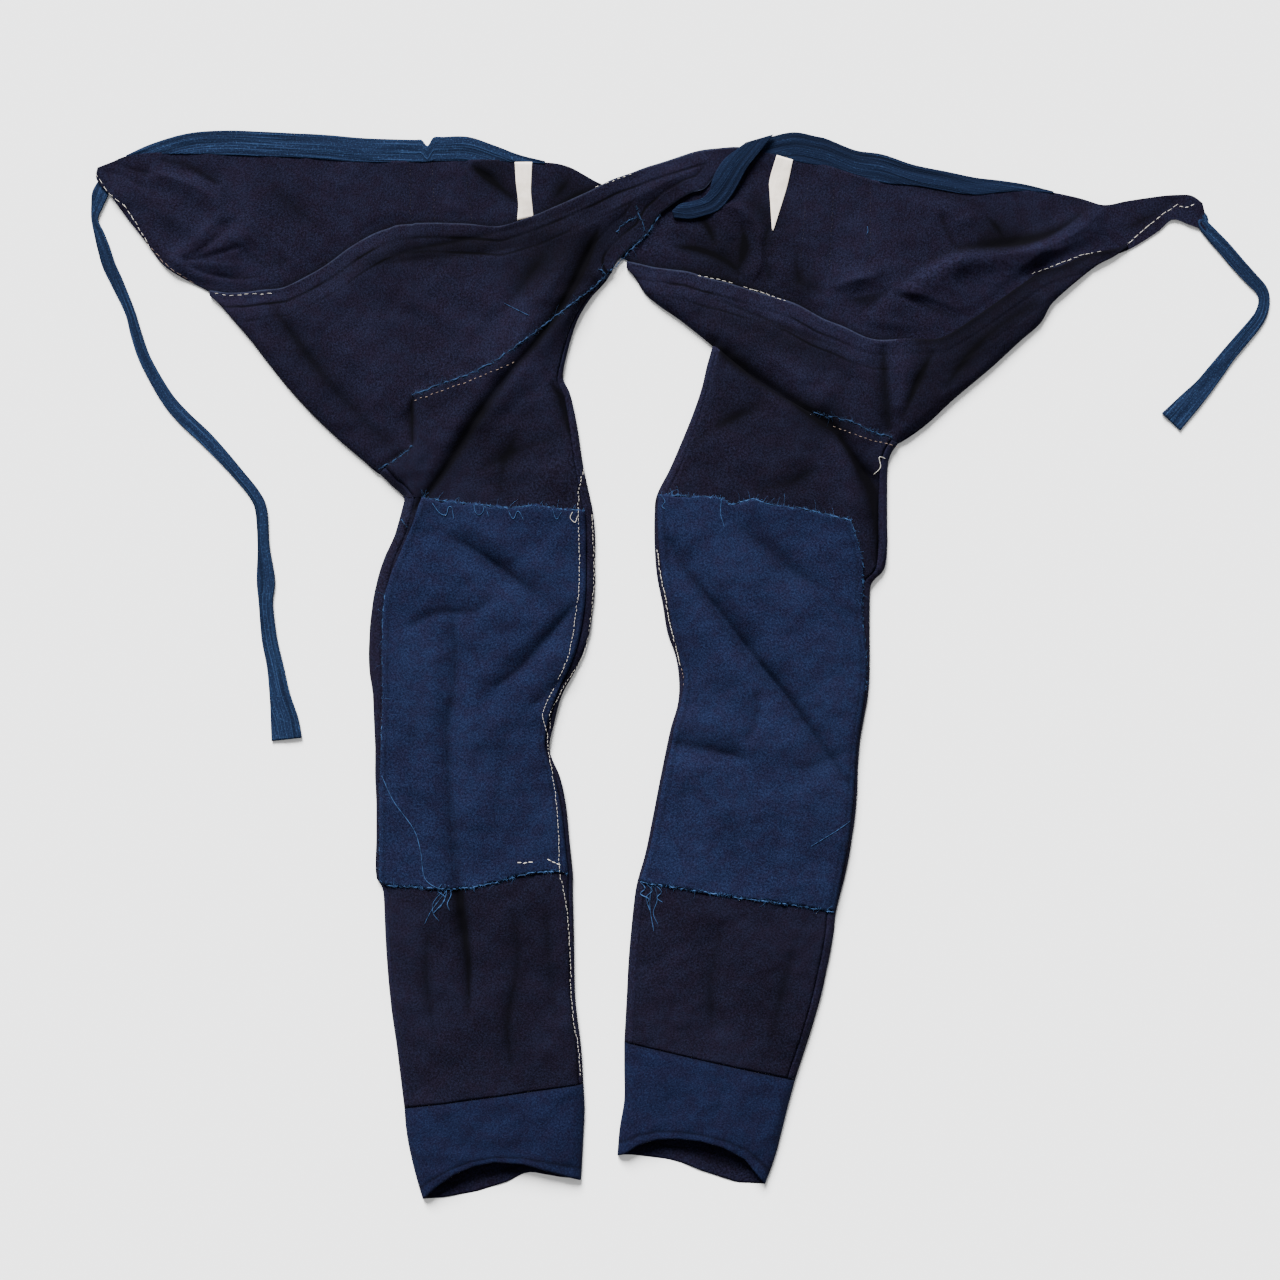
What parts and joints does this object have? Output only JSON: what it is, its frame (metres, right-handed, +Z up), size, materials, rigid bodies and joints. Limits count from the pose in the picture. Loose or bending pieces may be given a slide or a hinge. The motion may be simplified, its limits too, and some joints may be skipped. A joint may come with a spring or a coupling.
{
  "type": "momohiki work pants",
  "caption": "Indigo cotton momohiki work pants laid flat and open: narrow wrapped legs, knee patches, blue cuffs, a slubby waistband and long ties.",
  "frame": {"origin": "on the floor plane under the middle of the laid garment's bounding box", "axes": "+Z up from the floor, +Y from the hems towards the waist, +X towards the right of the garment as seen from above"},
  "size_m": [1.0133, 0.9189, 0.0159],
  "materials": {
    "dark_indigo": "near-black indigo plain weave, matt",
    "patch_indigo": "mid indigo plain weave, matt, frayed edges",
    "cuff_indigo": "mid indigo plain weave, matt",
    "band_blue": "slubby blue striped weave, matt",
    "tape_cream": "cream cotton tape, matt"
  },
  "bodies": {
    "root": {"left_hip_back": "dark_indigo", "left_hip_front": "dark_indigo", "left_leg_front": "dark_indigo", "left_leg_back": "dark_indigo", "right_hip_back": "dark_indigo", "right_hip_front": "dark_indigo", "right_leg_front": "dark_indigo", "right_leg_back": "dark_indigo", "left_knee_patch": "patch_indigo", "right_knee_patch": "patch_indigo", "left_cuff": "cuff_indigo", "right_cuff": "cuff_indigo", "left_waistband": "band_blue", "right_waistband": "band_blue", "right_waistband_end": "band_blue", "left_tie": "band_blue", "right_tie": "band_blue", "left_tape_tab": "tape_cream", "right_tape_tab": "tape_cream"}
  },
  "joints": []
}
